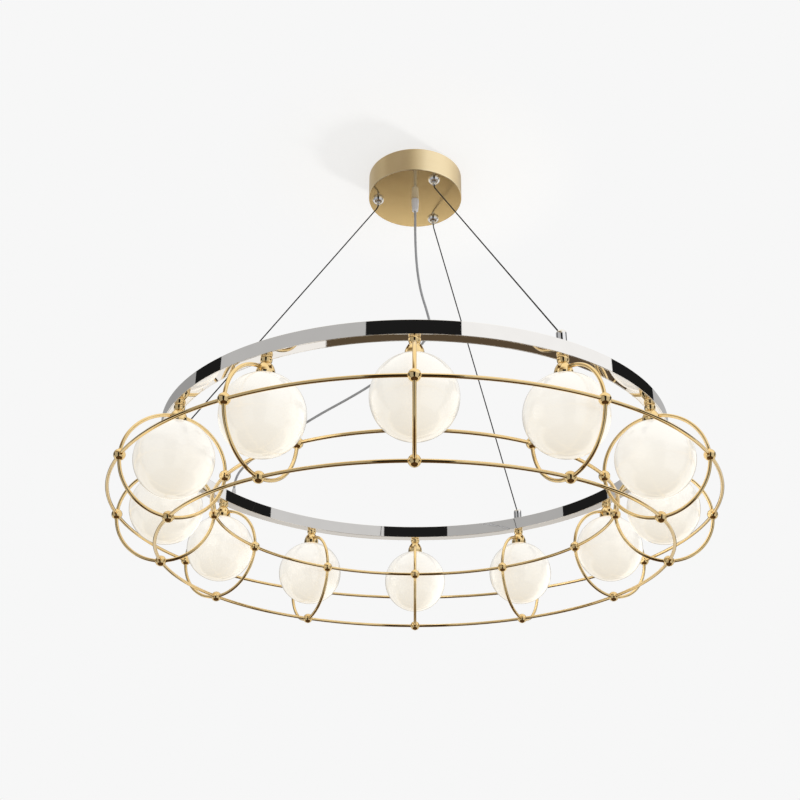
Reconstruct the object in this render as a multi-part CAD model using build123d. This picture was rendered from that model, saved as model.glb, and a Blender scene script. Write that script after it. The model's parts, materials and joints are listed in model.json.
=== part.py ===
from build123d import *
import os
from math import asin, atan2, cos, degrees, hypot, radians, sin, sqrt, tan

os.makedirs("parts", exist_ok=True)

# Orb chandelier: opal globes under a polished ring, inside a cage of brass hoops and rings.
# Millimetres, +Z up. The origin is the middle of the ceiling plate's top face, so all of it
# hangs below Z = 0. Lamp 1 faces -Y, and the lamps count round towards +X.

# ---- Driving dimensions ----

# Layout
lamp_count = 12
first_lamp_deg = -90.0
ring_r = 412.0              # circle of the lamps, and the middle of the ring's section
ring_drop = 564.0           # ceiling to the ring's top face
cable_count = 3
first_cable_deg = -60.0

# Ring
ring_width = 20.0
ring_height = 22.0
ring_wall = 1.5
ring_edge_r = 0.6
base_plate_t = 2.0
base_plate_gap = 0.15       # each side, to the channel's walls
post_count = 6
first_post_deg = -75.0
post_r = 3.0
cover_screw_r = 1.45
cover_screw_head_r = 2.8
cover_screw_head_h = 1.8
cover_screw_length = 9.0
wire_loop_r = 1.8
wire_loop_offset = 5.6      # outwards from the middle of the ring's section

# Nuts and nipples inside the ring (one thread for lamps and anchors)
thread_r = 4.0
nut_flats = 13.0
nut_height = 5.0
thread_end = 1.0            # thread that stands past a nut
thread_gap = 0.1            # round a thread in its hole or nut

# Lamp
nipple_bore_r = 2.6
collar_r = 8.6              # knob at its widest
collar_top_r = 7.4          # knob against the ring
collar_height = 10.0
collar_belly_height = 5.5   # waist up to the widest place
waist_r = 6.5
cup_height = 20.5
cup_shoulder_r = 7.8
cup_shoulder_drop = 1.0
cup_mouth_r = 13.6
cup_bulge = 2.2             # side's arc beyond a straight side
cup_wall = 1.9
cup_cavity_depth = 7.2
socket_thread_r = 9.2
socket_thread_length = 12.0
socket_r = 8.0
socket_length = 22.0
socket_grip = 6.0           # nipple thread inside the socket
pin_r = 0.9
pin_spread = 4.5
pin_length = 7.0
bulb_r = 7.5
bulb_length = 38.0
globe_d = 120.0
globe_wall = 2.5
globe_gap = 0.3             # glass to the cup's mouth
neck_wall = 1.9
neck_gap = 0.5              # neck to the roof of the cup
screw_gap = 0.1             # running clearance of the globe on the socket's thread

# Cage
hoop_r = 80.5               # centre line of a globe's hoop
hoop_seat_depth = 9.43      # cup's top down to the middle of a rod at the hoop's top
rod_r = 2.75
ball_r = 8.8
ball_web = 3.6              # ball's middle to the end of each rod in it
cup_web = 6.0               # lamp's axis to the end of each rod in the cup
solder_gap = 0.05           # round a rod in its drilled seat

# Canopy and ceiling plate
canopy_d = 176.0
canopy_height = 49.0
canopy_wall = 1.2
canopy_edge_r = 1.0
ceiling_gap = 0.5
plate_t = 2.0
plate_rim_height = 12.0
plate_gap = 0.4             # rim to the canopy's wall
mount_pcd = 120.0
mount_hole_r = 2.75
mount_hole_count = 4
mains_hole_r = 10.0
grub_r = 2.0
grub_length = 6.0
grub_socket_flats = 2.0
grub_socket_depth = 2.0

# Terminal block and its cable
block_x = 36.0
block_y = 17.0
block_z = 14.0
block_offset_y = 45.0
block_bore_r = 2.2
block_edge_r = 1.0

# Cord, its sleeve at the canopy and its sleeve at the ring
cord_d = 4.5
sleeve_top_r = 7.0
sleeve_tip_r = 5.6
sleeve_length = 27.0
sleeve_edge_r = 1.2
sleeve_stem_r = 5.0
sleeve_stem_length = 12.0
sleeve_nut_flats = 16.0
sleeve_nut_height = 5.0
ring_sleeve_r = 4.0
ring_sleeve_tip_r = 2.9
ring_sleeve_length = 14.0
ring_sleeve_stem_r = 3.0
ring_sleeve_stem_end = 3.0  # below the channel's top wall
cord_azimuth = 146.5

# Cable grippers
gripper_inset = 18.0        # canopy's side to a gripper's middle
dome_r = 11.0
dome_height = 7.5
dome_skirt = 1.2
dome_bulge = 1.4            # of the dome's arc past its chord
stem_r = 5.5
stem_length = 14.0
gripper_nut_flats = 17.0
gripper_nut_height = 4.0
plunger_r = 3.4
plunger_nose = 6.0          # stands out below the dome at rest
plunger_tip_r = 2.7
plunger_tip_height = 1.2
plunger_collar_r = 4.1
plunger_collar_height = 1.8
plunger_shoulder = 1.0      # gripper's inner shoulder, below the canopy's face
spring_room = 7.0           # height of the gripper's inner chamber
spring_wire_r = 0.3
spring_turns = 4.0
slide_gap = 0.1
seat_gap = 0.1

# Suspension cables and their anchors
cable_r = 1.0
cable_gap = 0.3             # round the cable in each bore
cable_tail = 4.0            # cut end above the gripper
cable_straight = 4.0        # below the plunger, before the cable turns
cable_bend_r = 10.0
anchor_r = 7.5
anchor_height = 20.0
anchor_edge_r = 4.5
anchor_seat_height = 14.0   # cable's end ball above the ring
end_ball_r = 2.4
end_ball_gap = 0.15

# ---- Heights and circles that follow ----
ring_top_z = -ring_drop
ring_bottom_z = ring_top_z - ring_height
ring_mid_z = (ring_top_z + ring_bottom_z) / 2
channel_roof_z = ring_top_z - ring_wall
base_plate_top_z = ring_bottom_z + base_plate_t
cup_top_z = ring_bottom_z - collar_height
cup_mouth_z = cup_top_z - cup_height
cup_roof_z = cup_mouth_z + cup_cavity_depth
globe_r = globe_d / 2
globe_z = cup_mouth_z - globe_gap - sqrt(globe_r ** 2 - (cup_mouth_r - cup_wall) ** 2)
hoop_z = cup_top_z - hoop_seat_depth - hoop_r
socket_bottom_z = cup_roof_z - socket_length
nut_top_z = base_plate_top_z + nut_height
outer_ring_r = ring_r + hoop_r
inner_ring_r = ring_r - hoop_r
bottom_ring_z = hoop_z - hoop_r
thread_hole_r = thread_r + thread_gap
canopy_r = canopy_d / 2
gripper_circle_r = canopy_r - gripper_inset
canopy_face_z = -canopy_height
canopy_floor_z = canopy_face_z + canopy_wall
plate_r = canopy_r - canopy_wall - plate_gap
grub_z = -(plate_t + plate_rim_height) / 2
nose_tip_z = canopy_face_z - dome_height - plunger_nose
lamp_angles = [first_lamp_deg + 360 / lamp_count * i for i in range(lamp_count)]
cable_angles = [first_cable_deg + 360 / cable_count * i for i in range(cable_count)]
post_angles = [first_post_deg + 360 / post_count * i for i in range(post_count)]
grub_angles = (0, 180)


# ---- Helpers ----
def rod(radius, low_z, high_z, x=0.0, y=0.0):
    return Pos(x, y, (low_z + high_z) / 2) * Cylinder(radius, high_z - low_z)


def tube(outer_r, inner_r, low_z, high_z):
    return rod(outer_r, low_z, high_z) - rod(inner_r, low_z, high_z)


def turned(*outline):
    # Outline of (radius, height) points, turned about Z.
    face = Plane.XZ * make_face(Polyline(*outline, close=True))
    return revolve(face, Axis.Z, 360)


def turned_edges(*edges):
    # Closed outline given as edges in (radius, height), turned about Z.
    face = Plane.XZ * make_face(Wire(edges))
    return revolve(face, Axis.Z, 360)


def hexagon(flats, hole_r, low_z, high_z):
    outline = RegularPolygon(flats / 2, 6, major_radius=False)
    nut = extrude(Pos(0, 0, low_z) * outline, high_z - low_z)
    return nut - rod(hole_r, low_z, high_z)


def bent_rod(radius, section_r, start_deg, end_deg):
    # Round rod along an arc about Z.
    section = Plane.XZ * (Pos(radius, 0) * Circle(section_r))
    return Rot(0, 0, start_deg) * revolve(section, Axis.Z, end_deg - start_deg)


def swept(path, radius):
    start = Plane(origin=path @ 0, z_dir=path % 0)
    return sweep(start * Circle(radius), path)


def around(shape, angles):
    return [Rot(0, 0, angle) * shape for angle in angles]


def save(name, *shapes):
    shape = shapes[0] if len(shapes) == 1 else Compound(list(shapes))
    export_step(shape, f"parts/{name}.step")


# ---- Ceiling fitting ----
def ceiling_plate():
    plate = rod(plate_r, -plate_t, 0)
    plate += tube(plate_r, plate_r - plate_t, -plate_t - plate_rim_height, -plate_t / 2)
    plate -= rod(mains_hole_r, -plate_t, 0)
    hole = rod(mount_hole_r, -plate_t, 0, x=mount_pcd / 2)
    for i in range(mount_hole_count):
        plate -= Rot(0, 0, 360 / mount_hole_count * (i + 0.5)) * hole
    for angle in grub_angles:
        plate -= grub_at(angle, grub_r + solder_gap, plate_r - 2 * plate_t, canopy_r)
    return plate


def grub_at(angle, radius, inner, outer):
    # Round bar along a radius at the grub screws' height.
    bar = Pos((inner + outer) / 2, 0, grub_z) * Rot(0, 90, 0) * Cylinder(radius, outer - inner)
    return Rot(0, 0, angle) * bar


def canopy_shell():
    shell = rod(canopy_r, canopy_face_z, -ceiling_gap)
    lower_edge = shell.edges().filter_by(GeomType.CIRCLE).sort_by(Axis.Z)[0]
    shell = fillet(lower_edge, canopy_edge_r)
    shell -= rod(canopy_r - canopy_wall, canopy_floor_z, 0)
    shell -= rod(sleeve_stem_r + thread_gap, canopy_face_z, canopy_floor_z)
    stem_hole = rod(stem_r + thread_gap, canopy_face_z, canopy_floor_z, x=gripper_circle_r)
    for hole in around(stem_hole, cable_angles):
        shell -= hole
    for angle in grub_angles:
        shell -= grub_at(angle, grub_r + thread_gap, plate_r, canopy_r + canopy_wall)
    return shell


def grub_screw():
    outer = canopy_r - canopy_wall / 4
    screw = grub_at(0, grub_r, outer - grub_length, outer)
    pocket = extrude(RegularPolygon(grub_socket_flats / 2, 6, major_radius=False), grub_socket_depth)
    return screw - Pos(outer - grub_socket_depth, 0, grub_z) * Rot(0, 90, 0) * pocket


def terminal_block():
    middle = Pos(0, block_offset_y, -plate_t - block_z / 2)
    block = Box(block_x, block_y, block_z)
    block = fillet(block.edges().filter_by(Axis.Z), block_edge_r)
    bore = Rot(90, 0, 0) * Cylinder(block_bore_r, block_y)
    for side in (-1, 1):
        block -= Pos(side * block_x / 3, 0, 0) * bore
    return middle * block


def mains_tail():
    top = canopy_floor_z + sleeve_stem_length - canopy_wall
    face_y = block_offset_y - block_y / 2
    block_mid_z = -plate_t - block_z / 2
    bend_z = (top + block_mid_z) / 2
    route = [(0, 0, top), (0, 0, bend_z), (0, face_y / 2, block_mid_z), (0, face_y, block_mid_z)]
    return swept(cord_path(route), cord_d / 2)


def canopy_sleeve():
    tip_z = canopy_face_z - sleeve_length
    outside = turned((0, canopy_face_z), (sleeve_top_r, canopy_face_z), (sleeve_tip_r, tip_z), (0, tip_z))
    outside = fillet(outside.edges().filter_by(GeomType.CIRCLE), sleeve_edge_r)
    return outside + rod(sleeve_stem_r, canopy_face_z - sleeve_edge_r, canopy_face_z + sleeve_stem_length)


def sleeve_nut():
    return hexagon(sleeve_nut_flats, sleeve_stem_r + thread_gap,
                   canopy_floor_z, canopy_floor_z + sleeve_nut_height)


# ---- Cable grippers: modelled on +X at the canopy's face, then turned to each cable ----
chamber_floor_z = canopy_face_z - plunger_shoulder
chamber_roof_z = chamber_floor_z + spring_room
collar_top_z = chamber_floor_z + seat_gap + plunger_collar_height


def gripper_body():
    low_z = canopy_face_z - dome_height
    lip_r = plunger_r + 1.5 * canopy_wall
    corner = (dome_r, canopy_face_z - dome_skirt)
    fall = dome_height - dome_skirt
    slant = hypot(dome_r - lip_r, fall)
    arc_mid = ((dome_r + lip_r) / 2 + dome_bulge * fall / slant,
               corner[1] - fall / 2 - dome_bulge * (dome_r - lip_r) / slant)
    stem_top_z = canopy_face_z + stem_length
    body = turned_edges(
        Line((0, stem_top_z), (stem_r, stem_top_z)),
        Line((stem_r, stem_top_z), (stem_r, canopy_face_z)),
        Line((stem_r, canopy_face_z), (dome_r, canopy_face_z)),
        Line((dome_r, canopy_face_z), corner),
        ThreePointArc(corner, arc_mid, (lip_r, low_z)),
        Line((lip_r, low_z), (0, low_z)),
        Line((0, low_z), (0, stem_top_z)),
    )
    body -= rod(plunger_r + slide_gap, low_z, chamber_floor_z)
    body -= rod(plunger_collar_r + slide_gap, chamber_floor_z, chamber_roof_z)
    body -= rod(cable_r + cable_gap, chamber_roof_z, stem_top_z)
    return Pos(gripper_circle_r, 0, 0) * body


def gripper_nut():
    nut = hexagon(gripper_nut_flats, stem_r + thread_gap,
                  canopy_floor_z, canopy_floor_z + gripper_nut_height)
    return Pos(gripper_circle_r, 0, 0) * nut


def gripper_plunger():
    collar_low_z = chamber_floor_z + seat_gap
    plunger = turned(
        (0, nose_tip_z), (plunger_tip_r, nose_tip_z), (plunger_r, nose_tip_z + plunger_tip_height),
        (plunger_r, collar_low_z), (plunger_collar_r, collar_low_z),
        (plunger_collar_r, collar_top_z), (0, collar_top_z),
    )
    plunger -= rod(cable_r + cable_gap, nose_tip_z, collar_top_z)
    return Pos(gripper_circle_r, 0, 0) * plunger


def gripper_spring():
    coil_r = (cable_r + cable_gap + plunger_collar_r) / 2
    low_z = collar_top_z + seat_gap + spring_wire_r
    height = chamber_roof_z - seat_gap - spring_wire_r - low_z
    coil = Pos(0, 0, low_z) * Helix(height / spring_turns, height, coil_r)
    return Pos(gripper_circle_r, 0, 0) * swept(coil, spring_wire_r)


# ---- Suspension cables and anchors, in the same plane as their grippers ----
cable_turn_z = nose_tip_z - cable_straight
cable_end_z = ring_top_z + anchor_seat_height
cable_lean = degrees(atan2(ring_r - gripper_circle_r, cable_turn_z - cable_end_z))


def along_cable(radius, length):
    # Round bar from the cable's end ball up along the cable.
    bar = rod(radius, 0, length)
    return Pos(ring_r, 0, cable_end_z) * Rot(0, -cable_lean, 0) * bar


def suspension_cable():
    start_z = canopy_face_z + stem_length + cable_tail
    points = [(gripper_circle_r, 0, start_z), (gripper_circle_r, 0, cable_turn_z), (ring_r, 0, cable_end_z)]
    return swept(FilletPolyline(*points, radius=cable_bend_r), cable_r)


def cable_anchor():
    barrel = rod(anchor_r, ring_top_z, ring_top_z + anchor_height, x=ring_r)
    top_edge = barrel.edges().filter_by(GeomType.CIRCLE).sort_by(Axis.Z)[-1]
    barrel = fillet(top_edge, anchor_edge_r)
    stud_low_z = channel_roof_z - nut_height - thread_end
    barrel += rod(thread_r, stud_low_z, ring_top_z, x=ring_r)
    barrel -= Pos(ring_r, 0, cable_end_z) * Sphere(end_ball_r + end_ball_gap)
    return barrel - along_cable(cable_r + cable_gap, anchor_height + anchor_r)


def cable_end_ball():
    return Pos(ring_r, 0, cable_end_z) * Sphere(end_ball_r) - along_cable(cable_r, anchor_height)


def anchor_nut():
    return Pos(ring_r, 0, 0) * hexagon(nut_flats, thread_hole_r, channel_roof_z - nut_height, channel_roof_z)


# ---- Power cord: (reach, height) in the upright plane from the sleeve to the ring ----
cord_route = [
    (0, canopy_face_z - sleeve_length), (0, -124), (-1.5, -170), (-5, -214), (-13, -262),
    (-26, -306), (-33.5, -338), (-24, -362), (4, -382), (46, -401), (97, -420), (150, -433.5),
    (204, -445), (256, -459), (306, -475), (352, -491), (388, -506),
    (ring_r, -528), (ring_r, ring_top_z + ring_sleeve_length),
]


def cord_path(points):
    # Straight runs joined by the largest arcs that leave a tenth of each run straight.
    corners = [Vector(*point) for point in points]
    runs = [b - a for a, b in zip(corners, corners[1:])]
    radii = []
    for run, following in zip(runs, runs[1:]):
        half_turn = radians(run.get_angle(following)) / 2
        radii.append(0.45 * min(run.length, following.length) / tan(half_turn))
    print("cord radii", [round(radius, 1) for radius in radii])
    return FilletPolyline(*corners, radius=radii)


def power_cord():
    turn = radians(cord_azimuth)
    points = [(reach * cos(turn), reach * sin(turn), height) for reach, height in cord_route]
    path = cord_path(points)
    cord = swept(path, cord_d / 2)
    expected = path.length * Circle(cord_d / 2).area
    print("cord length", round(path.length, 1), "volume ratio", round(cord.volume / expected, 5))
    return cord


def ring_sleeve():
    tip_z = ring_top_z + ring_sleeve_length
    outline = turned((0, ring_top_z), (ring_sleeve_r, ring_top_z), (ring_sleeve_r, (ring_top_z + tip_z) / 2),
                     (ring_sleeve_tip_r, tip_z), (0, tip_z))
    sleeve = outline + rod(ring_sleeve_stem_r, channel_roof_z - ring_sleeve_stem_end, ring_top_z)
    return Rot(0, 0, cord_azimuth) * Pos(ring_r, 0, 0) * sleeve


# ---- Ring ----
def ring_channel():
    outer = Rectangle(ring_width, ring_height)
    outer = fillet(outer.vertices(), ring_edge_r)
    hollow = Pos(0, -ring_wall) * Rectangle(ring_width - 2 * ring_wall, ring_height)
    section = Plane.XZ * (Pos(ring_r, ring_mid_z) * (outer - hollow))
    channel = revolve(section, Axis.Z, 360)
    anchor_hole = rod(thread_hole_r, channel_roof_z, ring_top_z, x=ring_r)
    screw_hole = rod(cover_screw_r + thread_gap, channel_roof_z, ring_top_z, x=ring_r)
    cord_hole = rod(ring_sleeve_stem_r + thread_gap, channel_roof_z, ring_top_z, x=ring_r)
    holes = around(anchor_hole, cable_angles) + around(screw_hole, post_angles)
    for hole in holes + [Rot(0, 0, cord_azimuth) * cord_hole]:
        channel -= hole
    return channel


def ring_base_plate():
    half_width = ring_width / 2 - ring_wall - base_plate_gap
    plate = tube(ring_r + half_width, ring_r - half_width, ring_bottom_z, base_plate_top_z)
    nipple_hole = rod(thread_hole_r, ring_bottom_z, base_plate_top_z, x=ring_r)
    for hole in around(nipple_hole, lamp_angles):
        plate -= hole
    post = rod(post_r, base_plate_top_z - base_plate_t / 2, channel_roof_z, x=ring_r)
    bore = rod(cover_screw_r + solder_gap, channel_roof_z - cover_screw_length, channel_roof_z, x=ring_r)
    for standing, hole in zip(around(post, post_angles), around(bore, post_angles)):
        plate = plate + standing - hole
    return plate


def cover_screw():
    low_z = ring_top_z - cover_screw_length
    screw = rod(cover_screw_r, low_z, ring_top_z, x=ring_r)
    head = rod(cover_screw_head_r, ring_top_z, ring_top_z + cover_screw_head_h, x=ring_r)
    rim = head.edges().filter_by(GeomType.CIRCLE).sort_by(Axis.Z)[-1]
    head = fillet(rim, cover_screw_head_h / 3)
    slot = Pos(ring_r, 0, ring_top_z + cover_screw_head_h) * Box(
        2 * cover_screw_head_r, cover_screw_r / 2, cover_screw_head_h)
    return screw + head - slot


def wiring_loop():
    middle_z = nut_top_z + seat_gap + wire_loop_r
    section = Plane.XZ * (Pos(ring_r + wire_loop_offset, middle_z) * Circle(wire_loop_r))
    return revolve(section, Axis.Z, 360)


# ---- Lamp: modelled about Z, then moved out to each lamp's place ----
def lamp_collar():
    # The side's arc is drawn as three, so that its mesh stays close to the round shape.
    belly = (collar_r, cup_top_z + collar_belly_height)
    side = ThreePointArc((waist_r, cup_top_z), belly, (collar_top_r, ring_bottom_z))
    collar = turned_edges(
        Line((0, cup_top_z), (waist_r, cup_top_z)),
        ThreePointArc(side @ 0, side @ (1 / 6), side @ (2 / 6)),
        ThreePointArc(side @ (2 / 6), side @ (3 / 6), side @ (4 / 6)),
        ThreePointArc(side @ (4 / 6), side @ (5 / 6), side @ 1),
        Line((collar_top_r, ring_bottom_z), (0, ring_bottom_z)),
        Line((0, ring_bottom_z), (0, cup_top_z)),
    )
    return collar - rod(thread_hole_r, cup_top_z, ring_bottom_z)


def lamp_cup():
    shoulder = (cup_shoulder_r, cup_top_z - cup_shoulder_drop)
    mouth = (cup_mouth_r, cup_mouth_z)
    side_angle = atan2(cup_mouth_r - cup_shoulder_r, shoulder[1] - cup_mouth_z)
    bulge = ((cup_shoulder_r + cup_mouth_r) / 2 + cup_bulge * cos(side_angle),
             (shoulder[1] + cup_mouth_z) / 2 + cup_bulge * sin(side_angle))
    cup = turned_edges(
        Line((0, cup_top_z), (waist_r, cup_top_z)),
        Line((waist_r, cup_top_z), shoulder),
        ThreePointArc(shoulder, bulge, mouth),
        Line(mouth, (0, cup_mouth_z)),
        Line((0, cup_mouth_z), (0, cup_top_z)),
    )
    cup -= rod(cup_mouth_r - cup_wall, cup_mouth_z, cup_roof_z)
    cup -= rod(thread_hole_r, cup_roof_z, cup_top_z)
    seats = bent_rod(hoop_r, rod_r + solder_gap, 90 - hoop_angle(2 * cup_mouth_r), 90 - hoop_angle(cup_web))
    seats += bent_rod(hoop_r, rod_r + solder_gap, 90 + hoop_angle(cup_web), 90 + hoop_angle(2 * cup_mouth_r))
    return cup - Pos(0, 0, hoop_z) * Rot(90, 0, 0) * seats


def lamp_nipple():
    low_z = cup_roof_z - socket_grip
    return tube(thread_r, nipple_bore_r, low_z, nut_top_z + thread_end)


def lamp_nut():
    return hexagon(nut_flats, thread_hole_r, base_plate_top_z, nut_top_z)


def lamp_socket():
    thread_low_z = cup_roof_z - socket_thread_length
    socket = turned((0, cup_roof_z), (socket_thread_r, cup_roof_z), (socket_thread_r, thread_low_z),
                    (socket_r, thread_low_z), (socket_r, socket_bottom_z), (0, socket_bottom_z))
    socket -= rod(thread_r + solder_gap, cup_roof_z - socket_grip, cup_roof_z)
    socket -= rod(nipple_bore_r, cup_roof_z - socket_grip * 1.5, cup_roof_z)
    for side in (-1, 1):
        socket -= rod(pin_r + solder_gap, socket_bottom_z, socket_bottom_z + pin_length + 1,
                      x=side * pin_spread)
    return socket


def bulb():
    low_z = socket_bottom_z - bulb_length
    capsule = rod(bulb_r, low_z, socket_bottom_z)
    tip = capsule.edges().filter_by(GeomType.CIRCLE).sort_by(Axis.Z)[0]
    capsule = fillet(tip, bulb_r * 0.9)
    for side in (-1, 1):
        capsule += rod(pin_r, socket_bottom_z, socket_bottom_z + pin_length, x=side * pin_spread)
    return capsule


def globe():
    neck_inner_r = socket_thread_r + screw_gap
    neck_top_z = cup_roof_z - neck_gap
    glass = Pos(0, 0, globe_z) * Sphere(globe_r)
    glass += rod(neck_inner_r + neck_wall, globe_z, neck_top_z)
    glass -= Pos(0, 0, globe_z) * Sphere(globe_r - globe_wall)
    return glass - rod(neck_inner_r, globe_z, neck_top_z)


# ---- Cage ----
def hoop_angle(offset):
    # Turn about the hoop's centre that moves a point of the hoop sideways by this offset.
    return degrees(asin(offset / hoop_r))


def hoop_rod(start_deg, end_deg, gap=0.0):
    # Quarter of a hoop, in the upright plane through a lamp, measured from the outer side upwards.
    arc = bent_rod(hoop_r, rod_r + gap, start_deg, end_deg)
    return Pos(ring_r, 0, hoop_z) * Rot(90, 0, 0) * arc


def ring_rod(radius, z, gap=0.0, web=ball_web):
    # Arc between two neighbouring balls, from the lamp on +X to the next.
    inset = degrees(asin(web / radius))
    return Pos(0, 0, z) * bent_rod(radius, rod_r + gap, inset, 360 / lamp_count - inset)


def joint_ball(radius, z, hoop_deg):
    # Ball drilled for the two hoop rods and the two ring rods that meet in it.
    web = ball_web - solder_gap
    inset = hoop_angle(web)
    reach = hoop_angle(2 * ball_r)
    ball = Pos(radius, 0, z) * Rot(0, 0, 45) * Sphere(ball_r)
    ball -= hoop_rod(hoop_deg + inset, hoop_deg + reach, solder_gap)
    ball -= hoop_rod(hoop_deg - reach, hoop_deg - inset, solder_gap)
    arc = ring_rod(radius, z, solder_gap, web)
    return ball - arc - Rot(0, 0, -360 / lamp_count) * arc


ball_inset = hoop_angle(ball_web)
cup_inset = hoop_angle(cup_web)

# ---- Write every piece ----
save("ceiling_plate", ceiling_plate())
save("canopy_shell", canopy_shell())
save("canopy_grub_screws", *around(grub_screw(), grub_angles))
save("terminal_block", terminal_block())
save("mains_tail", mains_tail())
save("canopy_cord_sleeve", canopy_sleeve())
save("cord_sleeve_nut", sleeve_nut())
save("gripper_nuts", *around(gripper_nut(), cable_angles))
save("power_cord", power_cord())
save("ring_cord_sleeve", ring_sleeve())
save("ring_channel", ring_channel())
save("ring_base_plate", ring_base_plate())
save("ring_cover_screws", *around(cover_screw(), post_angles))
save("ring_wiring_loop", wiring_loop())
save("cable_end_balls", *around(cable_end_ball(), cable_angles))

for number, angle in enumerate(cable_angles, start=1):
    turn = Rot(0, 0, angle)
    save(f"gripper_body_{number}", turn * gripper_body())
    save(f"gripper_plunger_{number}", turn * gripper_plunger())
    save(f"gripper_spring_{number}", turn * gripper_spring())
    save(f"suspension_cable_{number}", turn * suspension_cable())
    save(f"cable_anchor_{number}", turn * cable_anchor())

out_to_lamp = Pos(ring_r, 0, 0)
save("ring_nuts", *around(out_to_lamp * lamp_nut(), lamp_angles), *around(anchor_nut(), cable_angles))
save("lamp_collars", *around(out_to_lamp * lamp_collar(), lamp_angles))
save("lamp_cups", *around(out_to_lamp * lamp_cup(), lamp_angles))
save("lamp_nipples", *around(out_to_lamp * lamp_nipple(), lamp_angles))
save("lamp_sockets", *around(out_to_lamp * lamp_socket(), lamp_angles))
save("lamp_bulbs", *around(out_to_lamp * bulb(), lamp_angles))
glass_globe = globe()
for number, angle in enumerate(lamp_angles, start=1):
    save(f"globe_{number:02d}", Rot(0, 0, angle) * out_to_lamp * glass_globe)

save("upper_outer_hoop_rods", *around(hoop_rod(ball_inset, 90 - cup_inset), lamp_angles))
save("upper_inner_hoop_rods", *around(hoop_rod(90 + cup_inset, 180 - ball_inset), lamp_angles))
save("lower_inner_hoop_rods", *around(hoop_rod(180 + ball_inset, 270 - ball_inset), lamp_angles))
save("lower_outer_hoop_rods", *around(hoop_rod(270 + ball_inset, 360 - ball_inset), lamp_angles))
save("outer_ring_rods", *around(ring_rod(outer_ring_r, hoop_z), lamp_angles))
save("bottom_ring_rods", *around(ring_rod(ring_r, bottom_ring_z), lamp_angles))
save("inner_ring_rods", *around(ring_rod(inner_ring_r, hoop_z), lamp_angles))
save("outer_joint_balls", *around(joint_ball(outer_ring_r, hoop_z, 0), lamp_angles))
save("bottom_joint_balls", *around(joint_ball(ring_r, bottom_ring_z, 270), lamp_angles))
save("inner_joint_balls", *around(joint_ball(inner_ring_r, hoop_z, 180), lamp_angles))
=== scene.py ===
import json
from math import asin, atan2, cos, degrees, hypot, pi, radians, sin, sqrt, tan

import bmesh
import bpy
import numpy as np
from mathutils import Matrix, Vector


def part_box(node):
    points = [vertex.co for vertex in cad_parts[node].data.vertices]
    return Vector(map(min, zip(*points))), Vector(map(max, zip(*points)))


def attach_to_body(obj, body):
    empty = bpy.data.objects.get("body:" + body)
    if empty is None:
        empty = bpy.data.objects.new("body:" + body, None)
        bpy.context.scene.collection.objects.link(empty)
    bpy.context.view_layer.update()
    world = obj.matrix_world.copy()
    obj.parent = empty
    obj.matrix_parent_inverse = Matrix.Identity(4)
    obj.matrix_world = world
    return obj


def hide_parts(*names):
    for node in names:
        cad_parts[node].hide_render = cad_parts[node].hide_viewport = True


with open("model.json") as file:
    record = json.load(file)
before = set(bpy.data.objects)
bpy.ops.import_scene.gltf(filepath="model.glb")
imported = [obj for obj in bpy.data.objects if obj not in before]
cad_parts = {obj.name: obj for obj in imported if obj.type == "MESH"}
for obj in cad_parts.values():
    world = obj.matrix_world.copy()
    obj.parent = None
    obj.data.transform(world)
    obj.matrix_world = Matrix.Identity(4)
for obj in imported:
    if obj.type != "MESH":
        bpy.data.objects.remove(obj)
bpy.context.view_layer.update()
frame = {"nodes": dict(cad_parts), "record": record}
cad_nodes = frame["nodes"]
MM = 0.001

# ---- Sizes, in metres: read from the frame where it has them ----
lamp_count = 12
first_lamp_turn = -pi / 2
lamp_step = 2 * pi / lamp_count
cable_count = 3
first_cable_turn = radians(-60)
cable_step = 2 * pi / cable_count

ring_low, ring_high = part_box("ring_channel")
ring_width = 20 * MM
ring_wall = 1.5 * MM
ring_outer_r = ring_high.x
ring_r = ring_outer_r - ring_width / 2
ring_top = ring_high.z
ring_bottom = ring_low.z
base_plate_t = 2 * MM
base_plate_gap = 0.15 * MM

cup_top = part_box("lamp_collars")[0].z
cup_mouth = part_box("lamp_cups")[0].z
thread_hole_r = 4.1 * MM
waist_r = 6.5 * MM
collar_r = 8.6 * MM
collar_top_r = 7.4 * MM
collar_edge_r = 0.25 * MM
collar_belly_height = 5.5 * MM
cup_shoulder_r = 7.8 * MM
cup_shoulder_drop = 1.0 * MM
cup_mouth_r = 13.6 * MM
cup_bulge = 2.2 * MM
cup_cavity_r = 11.7 * MM
cup_cavity = 7.2 * MM
cup_edge_r = 0.5 * MM

globe_low, globe_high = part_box("globe_01")
globe_r = (globe_high.x - globe_low.x) / 2
globe_z = globe_low.z + globe_r
globe_wall = 2.5 * MM
neck_top = globe_high.z
neck_inner_r = 9.3 * MM
neck_outer_r = 11.2 * MM

rod_r = 2.75 * MM
rod_steps = 48
rod_sides = 24
ball_low, ball_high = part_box("bottom_joint_balls")
ball_r = (ball_high.z - ball_low.z) / 2
ball_web = 3.6 * MM         # from a ball's middle to the ends of its rods
cup_web = 6 * MM            # from a lamp's axis to the upper ends of its hoop
outer_rods_low, outer_rods_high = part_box("outer_ring_rods")
hoop_z = (outer_rods_low.z + outer_rods_high.z) / 2
hoop_r = hoop_z - ball_low.z - ball_r
outer_ring_r = ring_r + hoop_r
inner_ring_r = ring_r - hoop_r
bottom_ring_z = hoop_z - hoop_r

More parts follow.
